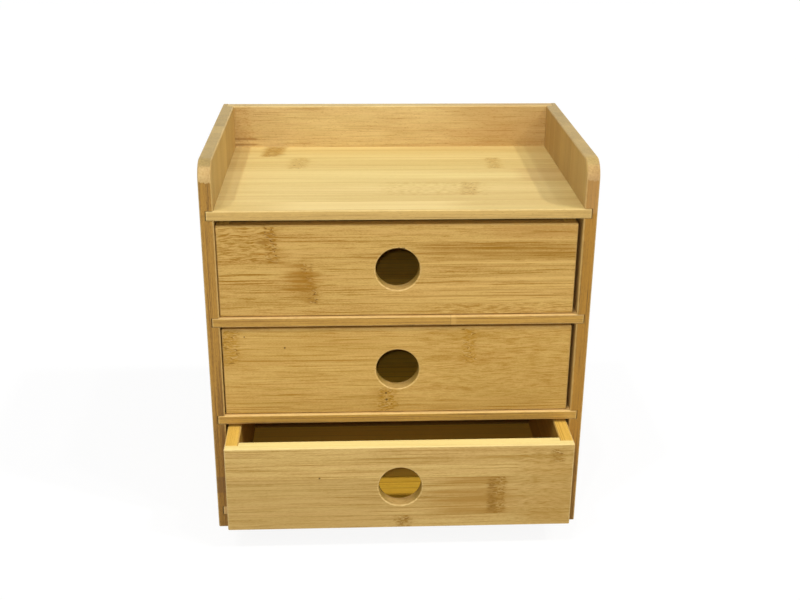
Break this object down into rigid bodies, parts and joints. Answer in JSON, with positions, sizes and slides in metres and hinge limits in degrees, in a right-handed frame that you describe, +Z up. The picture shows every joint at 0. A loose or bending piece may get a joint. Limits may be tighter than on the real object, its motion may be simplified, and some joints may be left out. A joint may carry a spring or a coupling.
{
  "type": "desktop mini drawers",
  "caption": "Bamboo desktop organiser: a glued case with a galleried open top and stacked pull-out drawers, each with a round finger hole.",
  "frame": {"origin": "at floor level under the middle of the object's box as it stands, with the bottom drawer pulled out", "axes": "+Z up, +X to the right as seen from the front, +Y from the drawer fronts to the back"},
  "size_m": [0.25, 0.195, 0.262],
  "materials": {
    "side_bamboo": "satin",
    "shelf_bamboo": "satin",
    "divider_bamboo": "satin",
    "thin_panel_bamboo": "satin",
    "drawer_front_bamboo": "satin",
    "drawer_wall_bamboo": "satin"
  },
  "bodies": {
    "case": {"left_side_panel": "side_bamboo", "right_side_panel": "side_bamboo", "top_shelf": "shelf_bamboo", "upper_divider": "divider_bamboo", "lower_divider": "divider_bamboo", "bottom_panel": "divider_bamboo", "back_rail": "side_bamboo", "back_panel": "thin_panel_bamboo"},
    "top_drawer": {"top_drawer_front": "drawer_front_bamboo", "top_drawer_left_side": "drawer_wall_bamboo", "top_drawer_right_side": "drawer_wall_bamboo", "top_drawer_back": "drawer_wall_bamboo", "top_drawer_bottom": "thin_panel_bamboo"},
    "middle_drawer": {"middle_drawer_front": "drawer_front_bamboo", "middle_drawer_left_side": "drawer_wall_bamboo", "middle_drawer_right_side": "drawer_wall_bamboo", "middle_drawer_back": "drawer_wall_bamboo", "middle_drawer_bottom": "thin_panel_bamboo"},
    "bottom_drawer": {"bottom_drawer_front": "drawer_front_bamboo", "bottom_drawer_left_side": "drawer_wall_bamboo", "bottom_drawer_right_side": "drawer_wall_bamboo", "bottom_drawer_back": "drawer_wall_bamboo", "bottom_drawer_bottom": "thin_panel_bamboo"}
  },
  "joints": [
    {"name": "top_drawer_slide", "type": "slide", "parent": "case", "child": "top_drawer", "axis": [0, -1, 0], "range_m": [0, 0.12]},
    {"name": "middle_drawer_slide", "type": "slide", "parent": "case", "child": "middle_drawer", "axis": [0, -1, 0], "range_m": [0, 0.12]},
    {"name": "bottom_drawer_slide", "type": "slide", "parent": "case", "child": "bottom_drawer", "axis": [0, -1, 0], "range_m": [-0.0318, 0.0882]}
  ]
}
